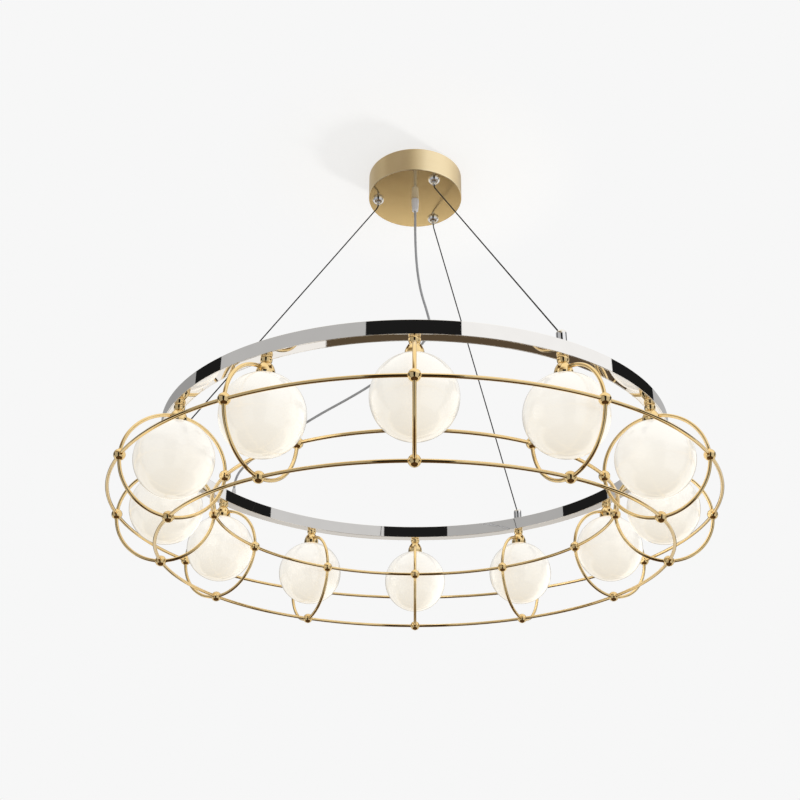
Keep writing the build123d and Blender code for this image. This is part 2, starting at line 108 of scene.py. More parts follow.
canopy_low, canopy_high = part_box("canopy_shell")
canopy_r = (canopy_high.x - canopy_low.x) / 2
canopy_face = canopy_low.z
canopy_rim = canopy_high.z
canopy_wall = 1.2 * MM
canopy_edge_r = 1.0 * MM
canopy_steps = 288
rim_depth = 1.0 * MM
rim_edge_r = 0.3 * MM
gripper_circle_r = canopy_r - 18 * MM
dome_r = 11 * MM
dome_height = 7.5 * MM
dome_skirt = 1.2 * MM
dome_bulge = 1.4 * MM
dome_lip = 1.8 * MM
stem_r = 5.5 * MM
stem_height = 14 * MM
plunger_r = 3.4 * MM
plunger_tip_r = 2.7 * MM
plunger_tip_height = 1.2 * MM
plunger_collar_r = 4.1 * MM
plunger_collar_t = 1.8 * MM
plunger_gap = 0.1 * MM
plunger_hole_depth = 1.0 * MM
gripper_edge_r = 0.3 * MM
cable_bore_r = 1.3 * MM
anchor_r = 7.5 * MM
anchor_height = 20 * MM
anchor_shoulder_r = 4.5 * MM
anchor_edge_r = 0.4 * MM
stud_r = 4 * MM
stud_length = 7.5 * MM

sleeve_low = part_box("canopy_cord_sleeve")[0]
sleeve_top_r = 7.0 * MM
sleeve_tip_r = 5.6 * MM
sleeve_straight = 7 * MM
sleeve_edge_r = 1.3 * MM
ring_sleeve_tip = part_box("ring_cord_sleeve")[1].z
ring_sleeve_r = 4.0 * MM
ring_sleeve_tip_r = 2.9 * MM
ring_sleeve_edge_r = 0.7 * MM
cord_turn = radians(146.5)
cord_d = 4.5 * MM


# ---- Node trees: small helpers ----
mix_inputs = (0, 6, 7)      # the mask and the two colours of a colour mix node
mix_output = 2


class Tree:
    """Adds nodes to a tree and links them by socket name or number."""

    def __init__(self, nodes, links):
        self.nodes = nodes
        self.links = links

    def add(self, kind, settings=None, **values):
        node = self.nodes.new(kind)
        for key, value in (settings or {}).items():
            setattr(node, key, value)
        for key, value in values.items():
            self.feed(node, key.replace("_", " "), value)
        return node

    def feed(self, node, key, value):
        socket = node.inputs[key]
        if isinstance(value, bpy.types.NodeSocket):
            self.links.new(value, socket)
        elif isinstance(value, bpy.types.Node):
            self.links.new(value.outputs[0], socket)
        else:
            socket.default_value = value

    def math(self, operation, *values):
        node = self.add("ShaderNodeMath", {"operation": operation})
        for index, value in enumerate(values):
            self.feed(node, index, value)
        return node.outputs[0]

    def place(self):
        """The object's own coordinates."""
        return self.add("ShaderNodeTexCoord").outputs["Object"]

    def height(self):
        return self.add("ShaderNodeSeparateXYZ", Vector=self.place()).outputs["Z"]

    def noise(self, scale, detail):
        texture = self.add("ShaderNodeTexNoise", Vector=self.place(), Scale=scale, Detail=detail)
        return texture.outputs[0]

    def spread(self, value, low, high, to_low=0.0, to_high=1.0, settings=None):
        """The range from low to high laid on another range, and kept within it."""
        node = self.add("ShaderNodeMapRange", settings, Value=value)
        bounds = {"From Min": low, "From Max": high, "To Min": to_low, "To Max": to_high}
        for key, bound in bounds.items():
            self.feed(node, key, bound)
        return node.outputs[0]

    def blend(self, mask, first, second):
        """The first colour where the mask is nought, the second where it is one."""
        node = self.add("ShaderNodeMix", {"data_type": "RGBA"})
        for key, value in zip(mix_inputs, (mask, first, second)):
            self.feed(node, key, value)
        return node.outputs[mix_output]

    def mixed_shaders(self, mask, first, second):
        """The first shader where the mask is nought, the second where it is one."""
        node = self.add("ShaderNodeMixShader")
        for key, value in enumerate((mask, first, second)):
            self.feed(node, key, value)
        return node


def new_group(name, kind, inputs, outputs):
    group = bpy.data.node_groups.new(name, kind)
    for label, socket_type, value in inputs:
        socket = group.interface.new_socket(label, in_out="INPUT", socket_type=socket_type)
        if value is not None:
            socket.default_value = value
    for label, socket_type in outputs:
        group.interface.new_socket(label, in_out="OUTPUT", socket_type=socket_type)
    tree = Tree(group.nodes, group.links)
    source = group.nodes.new("NodeGroupInput")
    sink = group.nodes.new("NodeGroupOutput")
    return group, tree, source, sink


# ---- Geometry node trees: copies round the axis, and bent rods ----
def end_in_real_copies(tree, source, sink, copies):
    """The copies made real, with the finish that the tree is given."""
    real = tree.add("GeometryNodeRealizeInstances", Geometry=copies.outputs[0])
    painted = tree.add("GeometryNodeSetMaterial", Geometry=real.outputs[0],
                       Material=source.outputs["Finish"])
    tree.feed(sink, "Geometry", painted.outputs[0])


def turned_copies_group():
    """Copies of a shape turned about the vertical axis."""
    group, tree, source, sink = new_group(
        "turned_copies", "GeometryNodeTree",
        [("Geometry", "NodeSocketGeometry", None),
         ("Count", "NodeSocketInt", lamp_count),
         ("First Turn", "NodeSocketFloat", first_lamp_turn),
         ("Step", "NodeSocketFloat", lamp_step),
         ("Finish", "NodeSocketMaterial", None)],
        [("Geometry", "NodeSocketGeometry")])
    points = tree.add("GeometryNodePoints", Count=source.outputs["Count"])
    index = tree.add("GeometryNodeInputIndex")
    turn = tree.math("MULTIPLY_ADD", index.outputs[0], source.outputs["Step"],
                     source.outputs["First Turn"])
    rotation = tree.add("ShaderNodeCombineXYZ", Z=turn)
    copies = tree.add("GeometryNodeInstanceOnPoints", Points=points.outputs[0],
                      Instance=source.outputs["Geometry"], Rotation=rotation.outputs[0])
    end_in_real_copies(tree, source, sink, copies)
    return group


def bent_rods_group(turned_copies):
    """A round rod bent to an arc, laid in place, and copied round the vertical axis."""
    group, tree, source, sink = new_group(
        "bent_rods", "GeometryNodeTree",
        [("Bend Radius", "NodeSocketFloat", hoop_r),
         ("Start Angle", "NodeSocketFloat", 0.0),
         ("Sweep Angle", "NodeSocketFloat", lamp_step),
         ("Rod Radius", "NodeSocketFloat", rod_r),
         ("Steps", "NodeSocketInt", rod_steps),
         ("Sides", "NodeSocketInt", rod_sides),
         ("Tilt", "NodeSocketFloat", 0.0),
         ("Middle", "NodeSocketVector", None),
         ("Count", "NodeSocketInt", lamp_count),
         ("First Turn", "NodeSocketFloat", first_lamp_turn),
         ("Step", "NodeSocketFloat", lamp_step),
         ("Finish", "NodeSocketMaterial", None)],
        [("Geometry", "NodeSocketGeometry")])
    arc = tree.add("GeometryNodeCurveArc", Resolution=source.outputs["Steps"],
                   Radius=source.outputs["Bend Radius"])
    tree.feed(arc, "Start Angle", source.outputs["Start Angle"])
    tree.feed(arc, "Sweep Angle", source.outputs["Sweep Angle"])
    section = tree.add("GeometryNodeCurvePrimitiveCircle", Resolution=source.outputs["Sides"],
                       Radius=source.outputs["Rod Radius"])
    bar = tree.add("GeometryNodeCurveToMesh", Curve=arc.outputs[0])
    tree.feed(bar, "Profile Curve", section.outputs[0])
    tree.feed(bar, "Fill Caps", True)
    tilt = tree.add("ShaderNodeCombineXYZ", X=source.outputs["Tilt"])
    placed = tree.add("GeometryNodeTransform", Geometry=bar.outputs[0],
                      Translation=source.outputs["Middle"], Rotation=tilt.outputs[0])
    copies = tree.add("GeometryNodeGroup", {"node_tree": turned_copies},
                      Geometry=placed.outputs[0], Count=source.outputs["Count"],
                      Step=source.outputs["Step"], Finish=source.outputs["Finish"])
    tree.feed(copies, "First Turn", source.outputs["First Turn"])
    end_in_real_copies(tree, source, sink, copies)
    return group


turned_copies = turned_copies_group()
bent_rods = bent_rods_group(turned_copies)


def grown(name, group, template=None, **values):
    """Runs a geometry tree on a template mesh and keeps the plain mesh it makes."""
    seed = template or bpy.data.meshes.new(name + "_seed")
    host = bpy.data.objects.new(name + "_host", seed)
    bpy.context.scene.collection.objects.link(host)
    modifier = host.modifiers.new("grow", "NODES")
    modifier.node_group = group
    for item in group.interface.items_tree:
        key = item.name.lower().replace(" ", "_")
        if item.item_type == "SOCKET" and item.in_out == "INPUT" and key in values:
            modifier[item.identifier] = values[key]
    evaluated = host.evaluated_get(bpy.context.evaluated_depsgraph_get())
    mesh = bpy.data.meshes.new_from_object(evaluated)
    host.modifiers.remove(modifier)
    bpy.data.objects.remove(host)
    return finished(name, mesh, values.get("finish"))


crease_angle = radians(32)


def finished(name, mesh, finish, crease=crease_angle):
    """A linked object from a mesh, shaded smooth but for its sharp edges."""
    mesh.name = name
    if finish is not None and not mesh.materials:
        mesh.materials.append(finish)
    mesh.shade_smooth()
    mesh.set_sharp_from_angle(angle=crease)
    piece = bpy.data.objects.new(name, mesh)
    bpy.context.scene.collection.objects.link(piece)
    return piece


def attach(piece, body, slot, *replaced):
    """Puts a piece under its body's empty and hides the nodes it stands for; the slot is not used.
    """
    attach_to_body(piece, body)
    if replaced:
        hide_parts(*replaced)
    return piece


# ---- Turned shapes ----
def arc_points(middle, radius, start, end, steps):
    """Points on an arc of an outline, angles in degrees from the radius direction."""
    return [(middle[0] + radius * cos(radians(start + (end - start) * i / steps)),
             middle[1] + radius * sin(radians(start + (end - start) * i / steps)))
            for i in range(steps + 1)]


def angle_from(first, centre, point):
    """The point's angle about the centre less the first one, within half a turn."""
    return (atan2(point.y - centre.y, point.x - centre.x) - first + pi) % (2 * pi) - pi


def through(start, middle, end, steps):
    """Points on the arc from start to end through the middle point."""
    a, b, c = (Vector((*point, 0)) for point in (start, middle, end))
    u, v = b - a, c - a
    normal = u.cross(v)
    centre = a + (u.length_squared * v.cross(normal) + v.length_squared * normal.cross(u)) / (
        2 * normal.length_squared)
    radius = (a - centre).length
    first = atan2(a.y - centre.y, a.x - centre.x)
    turn_b = angle_from(first, centre, b)
    turn_c = angle_from(first, centre, c)
    if turn_b * turn_c < 0:
        turn_c += 2 * pi if turn_b > 0 else -2 * pi
    return [(centre.x + radius * cos(first + turn_c * i / steps),
             centre.y + radius * sin(first + turn_c * i / steps)) for i in range(steps + 1)]


axis_tolerance = 1e-7
shortest_side = 1e-9
straight_angle = radians(160)
side_share = 0.4
edge_support = 1.2


def eased(outline, radius, steps=4, closed=True):
    """The outline with each corner rounded, as far as its sides allow."""
    count = len(outline)
    result = []
    for i, point in enumerate(outline):
        here = Vector(point)
        u = Vector(outline[i - 1]) - here
        v = Vector(outline[(i + 1) % count]) - here
        open_end = not closed and i in (0, count - 1)
        on_axis = point[0] < axis_tolerance
        if open_end or on_axis or min(u.length, v.length) < shortest_side:
            result.append(point)
            continue
        angle = u.angle(v)
        if angle > straight_angle:
            result.append(point)
            continue
        reach = min(radius / tan(angle / 2), side_share * u.length, side_share * v.length)
        first, last = here + u.normalized() * reach, here + v.normalized() * reach
        # A point just outside each end of the rounding keeps the flats beside it flat.
        result.append(tuple(here + u.normalized() * reach * edge_support))
        for k in range(steps + 1):
            t = k / steps
            mixed = first * (1 - t) ** 2 + here * 2 * t * (1 - t) + last * t ** 2
            result.append((mixed.x, mixed.y))
        result.append(tuple(here + v.normalized() * reach * edge_support))
    return result


def turned(outline, steps, middle=(0, 0), closed=True):
    """A bmesh turned about the vertical line through the middle from (radius, height) points."""
    shape = bmesh.new()
    rows = []
    for radius, height in outline:
        if radius < axis_tolerance:
            rows.append([shape.verts.new((middle[0], middle[1], height))])
            continue
        rows.append([shape.verts.new((middle[0] + radius * cos(2 * pi * k / steps),
                                      middle[1] + radius * sin(2 * pi * k / steps), height))
                     for k in range(steps)])
    pairs = list(zip(rows, rows[1:]))
    if closed and not (len(rows[0]) == 1 or len(rows[-1]) == 1):
        pairs.append((rows[-1], rows[0]))
    for low, high in pairs:
        for k in range(steps):
            corners = [low[k % len(low)], low[(k + 1) % steps % len(low)],
                       high[(k + 1) % steps % len(high)], high[k % len(high)]]
            corners = [v for i, v in enumerate(corners) if v not in corners[:i]]
            if len(corners) > 2:
                shape.faces.new(corners)
    bmesh.ops.recalc_face_normals(shape, faces=shape.faces)
    return shape


def to_mesh(shape, name):
    mesh = bpy.data.meshes.new(name)
    shape.to_mesh(mesh)
    shape.free()
    return mesh


def merged(name, *shapes):
    """Several bmeshes as one mesh."""
    whole = bmesh.new()
    for shape in shapes:
        part = to_mesh(shape, name + "_part")
        whole.from_mesh(part)
        bpy.data.meshes.remove(part)
    return to_mesh(whole, name)


def turned_piece(name, node, slot, outline, steps, middle=(0, 0), body="root"):
    """A piece turned from an outline, which stands for a node of the frame."""
    mesh = to_mesh(turned(outline, steps, middle), name)
    return attach(finished(name, mesh, finishes[slot]), body, slot, node)


def brass_piece(name, node, group, template=None, **values):
    """A polished brass piece that a geometry tree makes."""
    piece = grown(name, group, template, finish=finishes["polished_brass"], **values)
    return attach(piece, "root", "polished_brass", node)


def turned_places(radius):
    """The number, turn and place of each of the three cables at that radius."""
    for number in range(1, cable_count + 1):
        turn = first_cable_turn + cable_step * (number - 1)
        yield number, turn, (radius * cos(turn), radius * sin(turn))


# ---- Shader groups: values and heights only ----
def cloud_group():
    """Soft uneven patches, mapped between two values."""
    group, tree, source, sink = new_group(
        "soft_patches", "ShaderNodeTree",
        [("Scale", "NodeSocketFloat", 20.0), ("Low", "NodeSocketFloat", 0.0),
         ("High", "NodeSocketFloat", 1.0)],
        [("Value", "NodeSocketFloat")])
    noise = tree.add("ShaderNodeTexNoise", Vector=tree.place(),
                     Scale=source.outputs["Scale"], Detail=4.0, Roughness=0.55)
    value = tree.spread(noise.outputs[0], low=0.3, high=0.7,
                        to_low=source.outputs["Low"], to_high=source.outputs["High"])
    tree.feed(sink, "Value", value)
    return group


def turning_group():
    """Fine marks that run round the vertical axis, as a lathe or a buffing wheel leaves."""
    group, tree, source, sink = new_group(
        "turning_marks", "ShaderNodeTree",
        [("Lines", "NodeSocketFloat", 2000.0), ("Run", "NodeSocketFloat", 3.0)],
        [("Height", "NodeSocketFloat"), ("Mask", "NodeSocketFloat")])
    split = tree.add("ShaderNodeSeparateXYZ", Vector=tree.place())
    flat = tree.add("ShaderNodeCombineXYZ", X=split.outputs[0], Y=split.outputs[1])
    reach = tree.add("ShaderNodeVectorMath", {"operation": "LENGTH"}, Vector=flat.outputs[0])
    angle = tree.math("ARCTAN2", split.outputs[1], split.outputs[0])
    across = tree.math("MULTIPLY", reach.outputs["Value"], source.outputs["Lines"])
    up = tree.math("MULTIPLY", split.outputs[2], source.outputs["Lines"])
    along = tree.math("MULTIPLY", angle, source.outputs["Run"])
    stretched = tree.add("ShaderNodeCombineXYZ", X=across, Y=up, Z=along)
    lines = tree.add("ShaderNodeTexNoise", Vector=stretched.outputs[0], Scale=1.0, Detail=2.0)
    tree.feed(sink, "Height", lines.outputs[0])
    tree.feed(sink, "Mask", tree.spread(lines.outputs[0], low=0.35, high=0.65))
    return group


soft_patches = cloud_group()
turning_marks = turning_group()


def material(name, **fixed):
    """A Principled material with its constants set on the shader's own sockets."""
    made = bpy.data.materials.new(name)
    made.use_nodes = True
    tree = Tree(made.node_tree.nodes, made.node_tree.links)
    shader = made.node_tree.nodes["Principled BSDF"]
    for key, value in fixed.items():
        shader.inputs[key.replace("_", " ")].default_value = value
    return made, tree, shader


def patches(tree, scale, low=0.0, high=1.0):
    node = tree.add("ShaderNodeGroup", {"node_tree": soft_patches}, Scale=scale, Low=low, High=high)
    return node.outputs["Value"]


def marks(tree, lines, run):
    return tree.add("ShaderNodeGroup", {"node_tree": turning_marks}, Lines=lines, Run=run)


def two_tone(tree, shader, mask, first, second, socket="Base Color"):
    tree.feed(shader, socket, tree.blend(mask, (*first, 1), (*second, 1)))


def bumped(tree, shader, height, strength, distance):
    bump = tree.add("ShaderNodeBump", Strength=strength, Distance=distance, Height=height)
    tree.feed(shader, "Normal", bump.outputs[0])


def patched(name, tones, tone_scale, rough, rough_scale, **fixed):
    """A material with two near tones and an uneven roughness, both in soft patches."""
    made, tree, shader = material(name, **fixed)
    two_tone(tree, shader, patches(tree, tone_scale), *tones)
    tree.feed(shader, "Roughness", patches(tree, rough_scale, *rough))
    return made, tree, shader


def polished_brass():
    made, tree, shader = patched(
        "polished_brass", tones=((0.90, 0.67, 0.33), (0.94, 0.72, 0.38)), tone_scale=60.0,
        rough=(0.03, 0.06), rough_scale=140.0, Metallic=1.0)
    bumped(tree, shader, tree.noise(scale=900.0, detail=2.0), strength=0.05, distance=0.0002)
    return made


def satin_brass():
    """Smoother on the canopy's face than on its side."""
    made, tree, shader = material("satin_brass", Metallic=1.0)
    brushed = marks(tree, lines=2600.0, run=2.0)
    two_tone(tree, shader, brushed.outputs["Mask"], (0.91, 0.75, 0.47), (0.94, 0.79, 0.52))
    rough = tree.spread(tree.height(), low=canopy_face + canopy_edge_r,
                        high=canopy_face + 1.3 * canopy_edge_r, to_low=0.12, to_high=0.28)
    uneven = patches(tree, 40.0, low=0.0, high=0.03)
    tree.feed(shader, "Roughness", tree.math("ADD", rough, uneven))
    bumped(tree, shader, brushed.outputs["Height"], strength=0.06, distance=0.0002)
    return made


def polished_steel():
    made, tree, shader = patched(
        "polished_steel", tones=((0.92, 0.90, 0.875), (0.95, 0.93, 0.905)), tone_scale=30.0,
        rough=(0.006, 0.016), rough_scale=90.0, Metallic=1.0)
    buffed = marks(tree, lines=3000.0, run=6.0)
    bumped(tree, shader, buffed.outputs["Height"], strength=0.02, distance=0.0001)
    return made


def opal_glass():
    # Painted glow: the globe's emission stands in for the bulb's light through the opal glass.
    made, tree, shader = material("opal_glass", Roughness=0.16, IOR=1.5, Coat_Weight=0.5,
                                  Coat_Roughness=0.04, Emission_Strength=0.54)
    two_tone(tree, shader, patches(tree, 18.0), (0.77, 0.76, 0.73), (0.79, 0.78, 0.75))
    # Painted shade: the glow's colour is painted warmer and dimmer towards the bottom of the globe.
    rise = tree.spread(tree.height(), low=globe_z - globe_r, high=globe_z + 0.5 * globe_r)
    two_tone(tree, shader, rise, (0.98, 0.90, 0.76), (1.0, 0.97, 0.92), "Emission Color")
    bumped(tree, shader, tree.noise(scale=40.0, detail=2.0), strength=0.04, distance=0.0008)
    return made


def white_plastic():
    made, tree, shader = patched(
        "white_plastic", tones=((0.90, 0.90, 0.94), (0.94, 0.94, 0.98)), tone_scale=120.0,
        rough=(0.28, 0.38), rough_scale=400.0, IOR=1.46, Coat_Weight=0.2)
    bumped(tree, shader, tree.noise(scale=2500.0, detail=1.0), strength=0.1, distance=0.0001)
    return made


def bulb_glass():
    made, tree, shader = material("bulb_glass", Roughness=0.12, Emission_Strength=1.0)
    two_tone(tree, shader, patches(tree, 80.0), (0.85, 0.82, 0.74), (0.9, 0.88, 0.82))
    two_tone(tree, shader, patches(tree, 60.0), (1.0, 0.84, 0.62), (1.0, 0.88, 0.68),
             "Emission Color")
    return made


def zinc_steel():
    made, tree, shader = material("zinc_steel", Metallic=1.0)
    spangle = tree.add("ShaderNodeTexVoronoi", Scale=160.0, Vector=tree.place())
    tone = tree.add("ShaderNodeSeparateColor", Color=spangle.outputs["Color"])
    two_tone(tree, shader, tone.outputs[0], (0.52, 0.53, 0.55), (0.66, 0.67, 0.69))
    tree.feed(shader, "Roughness", patches(tree, 200.0, low=0.32, high=0.45))
    return made


finishes = {
    "polished_brass": polished_brass(),
    "satin_brass": satin_brass(),
    "polished_steel": polished_steel(),
    "opal_glass": opal_glass(),
    "white_plastic": white_plastic(),
    "bulb_glass": bulb_glass(),
    "zinc_steel": zinc_steel(),
}
patched_looks = {
    "chrome_fittings": dict(
        tones=((0.86, 0.86, 0.87), (0.92, 0.92, 0.92)), tone_scale=200.0,
        rough=(0.008, 0.02), rough_scale=300.0, Metallic=1.0),
    "steel_rope": dict(
        tones=((0.03, 0.03, 0.032), (0.07, 0.07, 0.07)), tone_scale=500.0,
        rough=(0.28, 0.42), rough_scale=700.0, Metallic=0.7, Specular_Tint=(0.3, 0.3, 0.3, 1)),
    "cord_jacket": dict(
        tones=((0.44, 0.45, 0.48), (0.52, 0.53, 0.56)), tone_scale=90.0,
        rough=(0.3, 0.42), rough_scale=300.0, IOR=1.48, Coat_Weight=0.4, Coat_Roughness=0.2),
    "socket_ceramic": dict(
        tones=((0.78, 0.76, 0.70), (0.84, 0.82, 0.77)), tone_scale=150.0,
        rough=(0.45, 0.6), rough_scale=300.0, IOR=1.55),
}
for finish_name, look in patched_looks.items():
    finishes[finish_name] = patched(finish_name, **look)[0]


def dress_cad_nodes():
    """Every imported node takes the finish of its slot, also where a finer piece replaces it."""
    for part in frame["record"]["subparts"]:
        mesh = cad_nodes[part["node"]].data
        mesh.materials.clear()
        mesh.materials.append(finishes[part["material_slot"]])


# ---- Camera: fitted to the photo ----
camera_place = (0.00231, -1.66833, -1.30558)
camera_tilt = radians(114.866)
camera_turn = -0.001146
sensor_width_mm = 36
lens_mm = 48.29
shift_x = -0.02176
shift_y = 0.03754


def make_camera():
    camera = bpy.data.objects.new("camera", bpy.data.cameras.new("camera"))
    bpy.context.scene.collection.objects.link(camera)
    camera.location = camera_place
    camera.rotation_euler = (camera_tilt, 0, camera_turn)
    camera.data.sensor_width = sensor_width_mm
    camera.data.lens = lens_mm
    camera.data.shift_x = shift_x
    camera.data.shift_y = shift_y
    bpy.context.scene.camera = camera


# ---- Cords ----
def spun(points, turn):
    """Metres from (reach, height) points in millimetres, in the upright plane at that turn."""
    return [(reach * MM * cos(turn), reach * MM * sin(turn), height * MM)
            for reach, height in points]


def route_curve(name, points):
    """A NURBS spline with the route's points as its control points."""
    curve = bpy.data.curves.new(name, "CURVE")
    curve.dimensions = "3D"
    curve.resolution_u = 24
    spline = curve.splines.new("NURBS")
    spline.points.add(len(points) - 1)
    for place, point in zip(spline.points, points):
        place.co = (*point, 1)
    spline.order_u = 3
    spline.use_endpoint_u = True
    piece = bpy.data.objects.new(name, curve)
    bpy.context.scene.collection.objects.link(piece)
    return piece


def route_line(points):
    """Points along the NURBS spline of a route, as Blender gives them."""
    bare = route_curve("route", points)
    mesh = bpy.data.meshes.new_from_object(bare)
    line = np.array([v.co for v in mesh.vertices], float)
    bpy.data.meshes.remove(mesh)
    bpy.data.objects.remove(bare)
    return line


# The cord's control points: out from the axis towards the ring's sleeve, and height, in mm.
cord_route = [
    (0, -76), (0, -124), (-1.5, -170), (-5, -214), (-13, -262), (-26, -306), (-33.5, -338),
    (-24, -362), (4, -382), (46, -401), (97, -420), (150, -433.5), (204, -445), (256, -459),
    (306, -475), (352, -491), (388, -506), (412, -528), (412, -550),
]


def power_cord():
    cord = route_curve("hanging_power_cord", spun(cord_route, cord_turn))
    cord.data.bevel_depth = cord_d / 2
    cord.data.bevel_resolution = 5
    cord.data.use_fill_caps = True
    cord.data.materials.append(finishes["cord_jacket"])
    attach(cord, "root", "cord_jacket", "power_cord")
    canopy_sleeve()
    ring_sleeve()


rope_strands = 6
rope_r = 1.2 * MM
rope_lay = 11 * MM
rope_steps_per_turn = 12
strand_sides = 7
rope_crease = radians(60)


def evenly(line, step):
    """Points along the line at even steps, and how far along it each lies."""
    along = np.concatenate([[0], np.cumsum(np.linalg.norm(np.diff(line, axis=0), axis=1))])
    at = np.linspace(0, along[-1], int(round(along[-1] / step)) + 1)
    return np.stack([np.interp(at, along, line[:, k]) for k in range(3)], axis=1), at


def tube_rows(shape, centres, ahead, side, radius, sides):
    """Adds a closed tube through the centres, with a given side direction at each."""
    rows = []
    for centre, forward, sideways in zip(centres, ahead, side):
        up = np.cross(forward, sideways)
        rows.append([shape.verts.new(centre + radius * (cos(2 * pi * k / sides) * sideways
                                                        + sin(2 * pi * k / sides) * up))
                     for k in range(sides)])
    for low, high in zip(rows, rows[1:]):
        for k in range(sides):
            shape.faces.new((low[k], low[(k + 1) % sides], high[(k + 1) % sides], high[k]))
    shape.faces.new(rows[0][::-1])
    shape.faces.new(rows[-1])


def rope_mesh(name, line):
    """A wire rope: six strands laid round a core, along the route's spline."""
    points, at = evenly(line, rope_lay / rope_steps_per_turn)
    ahead = np.gradient(points, axis=0)
    ahead /= np.linalg.norm(ahead, axis=1)[:, None]
    plane = np.cross(ahead[0], points[-1] - points[0])
    plane /= np.linalg.norm(plane)
    across = np.cross(ahead, plane)
    strand_r = rope_r / 3
    lay_r = rope_r - strand_r
    shape = bmesh.new()
    tube_rows(shape, points, ahead, np.tile(plane, (len(points), 1)), strand_r, strand_sides)
    for strand in range(rope_strands):
        angle = (2 * pi * (at / rope_lay + strand / rope_strands))[:, None]
        outward = np.cos(angle) * plane + np.sin(angle) * across
        centres = points + lay_r * outward
        forward = np.gradient(centres, axis=0)
        forward /= np.linalg.norm(forward, axis=1)[:, None]
        side = outward - (outward * forward).sum(1)[:, None] * forward
        side /= np.linalg.norm(side, axis=1)[:, None]
        tube_rows(shape, centres, forward, side, strand_r, strand_sides)
    bmesh.ops.recalc_face_normals(shape, faces=shape.faces)
    return to_mesh(shape, name)


# From inside the gripper, out through its nose and down to the ring, in mm as above.
cable_route = [(70, -31), (70, -54.5), (70, -66.5), (76.9, -76.3), (412, -550)]


def suspension_cables():
    for number, turn, _ in turned_places(gripper_circle_r):
        points = spun(cable_route, turn)
        line = route_line(points)
        rope = finished(f"wire_rope_{number}", rope_mesh("rope", line), finishes["steel_rope"],
                        rope_crease)
        attach(rope, "root", "steel_rope", f"suspension_cable_{number}")


# ---- Sleeves ----
def canopy_sleeve():
    tip = sleeve_low.z
    outline = [(0, canopy_face), (sleeve_top_r, canopy_face),
               (sleeve_top_r, canopy_face - sleeve_straight), (sleeve_tip_r, tip), (0, tip)]
    return turned_piece("cord_sleeve_at_canopy", "canopy_cord_sleeve", "white_plastic",
                        eased(outline, sleeve_edge_r, 6), 64)


def ring_sleeve():
    tip = ring_sleeve_tip
    outline = [(0, ring_top), (ring_sleeve_r, ring_top), (ring_sleeve_r, (ring_top + tip) / 2),
               (ring_sleeve_tip_r, tip), (0, tip)]
    middle = (ring_r * cos(cord_turn), ring_r * sin(cord_turn))
    return turned_piece("cord_sleeve_at_ring", "ring_cord_sleeve", "white_plastic",
                        eased(outline, ring_sleeve_edge_r, 5), 48, middle)


# ---- Ring ----
ring_steps = 480
ring_edge_r = 0.35 * MM
plate_edge_r = 0.25 * MM


def ring():
    """The channel, open below, and the base plate that closes it."""
    low, top = ring_bottom, ring_top
    inner, outer = ring_r - ring_width / 2, ring_r + ring_width / 2
    roof = top - ring_wall
    channel = [(outer, low), (outer, top), (inner, top), (inner, low), (inner + ring_wall, low),
               (inner + ring_wall, roof), (outer - ring_wall, roof), (outer - ring_wall, low)]
    turned_piece("polished_ring", "ring_channel", "polished_steel",
                 eased(channel, ring_edge_r, 5), ring_steps)
    half = ring_width / 2 - ring_wall - base_plate_gap
    plate = [(ring_r - half, low), (ring_r + half, low), (ring_r + half, low + base_plate_t),
             (ring_r - half, low + base_plate_t)]
    turned_piece("ring_cover", "ring_base_plate", "polished_steel",
                 eased(plate, plate_edge_r, 3), ring_steps)


# ---- Lamps: modelled at +X, then turned to each lamp's place ----
lamp_middle = (ring_r, 0)


def lamp_collars():
    knob = through((waist_r, cup_top), (collar_r, cup_top + collar_belly_height),
                   (collar_top_r, ring_bottom), 20)
    outline = [(thread_hole_r, cup_top)] + knob + [(thread_hole_r, ring_bottom)]
    mesh = to_mesh(turned(eased(outline, collar_edge_r, 3), 64, lamp_middle), "collar")
    brass_piece("lamp_necks", "lamp_collars", turned_copies, mesh)


def lamp_bells():
    shoulder = (cup_shoulder_r, cup_top - cup_shoulder_drop)
    slant = atan2(cup_mouth_r - cup_shoulder_r, shoulder[1] - cup_mouth)
    bulge = ((cup_shoulder_r + cup_mouth_r) / 2 + cup_bulge * cos(slant),
             (shoulder[1] + cup_mouth) / 2 + cup_bulge * sin(slant))
    side = through(shoulder, bulge, (cup_mouth_r, cup_mouth), 24)
    roof = cup_mouth + cup_cavity
    outline = [(thread_hole_r, cup_top), (waist_r, cup_top)] + side
    outline += [(cup_cavity_r, cup_mouth), (cup_cavity_r, roof), (thread_hole_r, roof)]
    mesh = to_mesh(turned(eased(outline, cup_edge_r, 4), 72, lamp_middle), "cup")
    brass_piece("lamp_bells", "lamp_cups", turned_copies, mesh)


def neck_angle(radius, neck_r):
    """Where a sphere of that radius meets its neck, in degrees above its middle."""
    return degrees(atan2(sqrt(radius ** 2 - neck_r ** 2), neck_r))


def globe_shape():
    """Blown glass: a shell with a rolled neck, open at the top."""
    steps = 60
    lowest = -90
    middle = (0, globe_z)
    inner_r = globe_r - globe_wall
    outer = arc_points(middle, globe_r, lowest, neck_angle(globe_r, neck_outer_r), steps)
    inner = arc_points(middle, inner_r, neck_angle(inner_r, neck_inner_r), lowest, steps)
    outer[0], inner[-1] = (0, outer[0][1]), (0, inner[-1][1])
    lip_r = (neck_outer_r - neck_inner_r) / 2
    lip = arc_points(((neck_outer_r + neck_inner_r) / 2, neck_top - lip_r), lip_r, 0, 180, 8)
    return turned(outer + lip + inner, 96, lamp_middle)


def globes():
    for number in range(1, lamp_count + 1):
        shape = globe_shape()
        turn = Matrix.Rotation(first_lamp_turn + lamp_step * (number - 1), 4, "Z")
        bmesh.ops.transform(shape, matrix=turn, verts=shape.verts)
        mesh = to_mesh(shape, "globe")
        piece = finished(f"opal_globe_{number:02d}", mesh, finishes["opal_glass"])
        attach(piece, f"globe_{number:02d}", "opal_glass", f"globe_{number:02d}")


